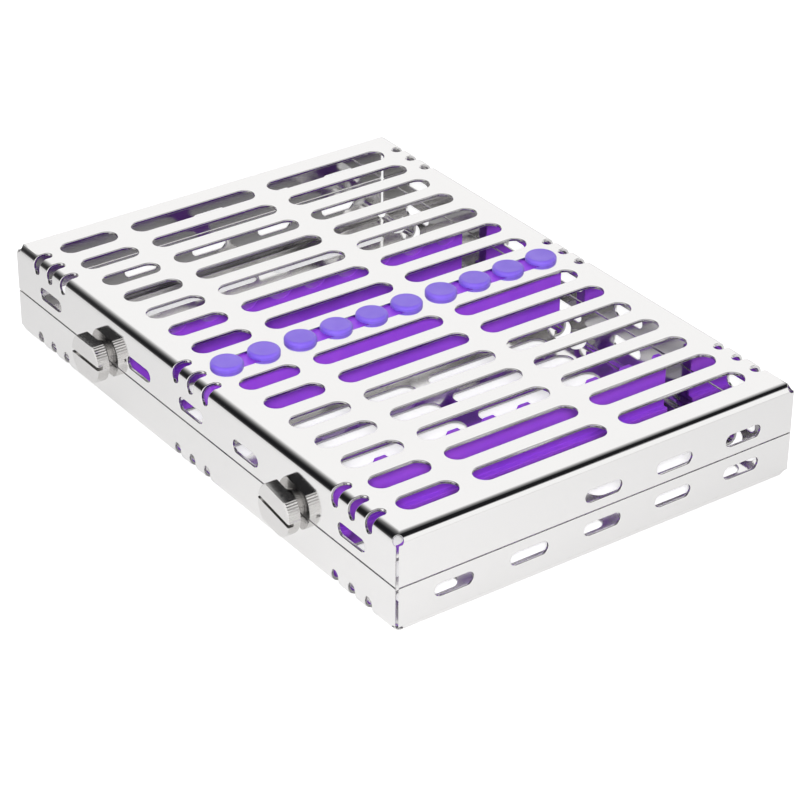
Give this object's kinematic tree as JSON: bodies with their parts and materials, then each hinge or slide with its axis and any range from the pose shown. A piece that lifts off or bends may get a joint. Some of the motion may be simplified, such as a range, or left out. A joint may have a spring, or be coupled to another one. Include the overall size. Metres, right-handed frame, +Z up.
{
  "type": "dental instrument cassette",
  "caption": "Flat hinged box of perforated sheet steel with silicone strips inside that hold instruments in a row, closed by coin-slot thumb screws.",
  "frame": {"origin": "on the table under the middle of the cassette's bounding box, lid closed", "axes": "+X along the long side, +Y from the thumb screws to the hinges, +Z up"},
  "size_m": [0.2032, 0.1507, 0.034],
  "materials": {
    "polished_steel": "mirror-polished stainless steel sheet",
    "turned_steel": "turned stainless steel, bright",
    "purple_silicone": "satin silicone rubber"
  },
  "bodies": {
    "base": {"base_shell": "polished_steel", "base_rail_left": "purple_silicone", "base_rail_right": "purple_silicone", "hinge_left_base_leaf": "polished_steel", "hinge_right_base_leaf": "polished_steel", "hinge_left_pin": "turned_steel", "hinge_right_pin": "turned_steel", "latch_left_bracket": "polished_steel", "latch_right_bracket": "polished_steel", "latch_left_nut": "turned_steel", "latch_right_nut": "turned_steel"},
    "lid": {"lid_shell": "polished_steel", "lid_strip": "purple_silicone", "hinge_left_lid_leaf": "polished_steel", "hinge_right_lid_leaf": "polished_steel"},
    "left_washer": {"latch_left_washer": "turned_steel"},
    "left_screw": {"latch_left_knob": "turned_steel", "latch_left_ring": "turned_steel"},
    "right_washer": {"latch_right_washer": "turned_steel"},
    "right_screw": {"latch_right_knob": "turned_steel", "latch_right_ring": "turned_steel"}
  },
  "joints": [
    {"name": "lid_hinge", "type": "hinge", "parent": "base", "child": "lid", "pos_m": [0, 0.07285, 0.0165], "axis": [-1, 0, 0], "range_deg": [0, 170]},
    {"name": "left_screw_advance", "type": "slide", "parent": "base", "child": "left_washer", "axis": [0, -1, 0], "range_m": [0, 0.0008]},
    {"name": "left_screw_turn", "type": "hinge", "parent": "left_washer", "child": "left_screw", "pos_m": [-0.051, -0.06985, 0.0165], "axis": [0, -1, 0], "range_deg": [0, 360]},
    {"name": "right_screw_advance", "type": "slide", "parent": "base", "child": "right_washer", "axis": [0, -1, 0], "range_m": [0, 0.0008]},
    {"name": "right_screw_turn", "type": "hinge", "parent": "right_washer", "child": "right_screw", "pos_m": [0.051, -0.06985, 0.0165], "axis": [0, -1, 0], "range_deg": [0, 360]}
  ],
  "couplings": [
    {"joint": "left_screw_turn", "follows": "left_screw_advance", "rad_per_m": 7853.9},
    {"joint": "right_screw_turn", "follows": "right_screw_advance", "rad_per_m": 7853.9}
  ]
}
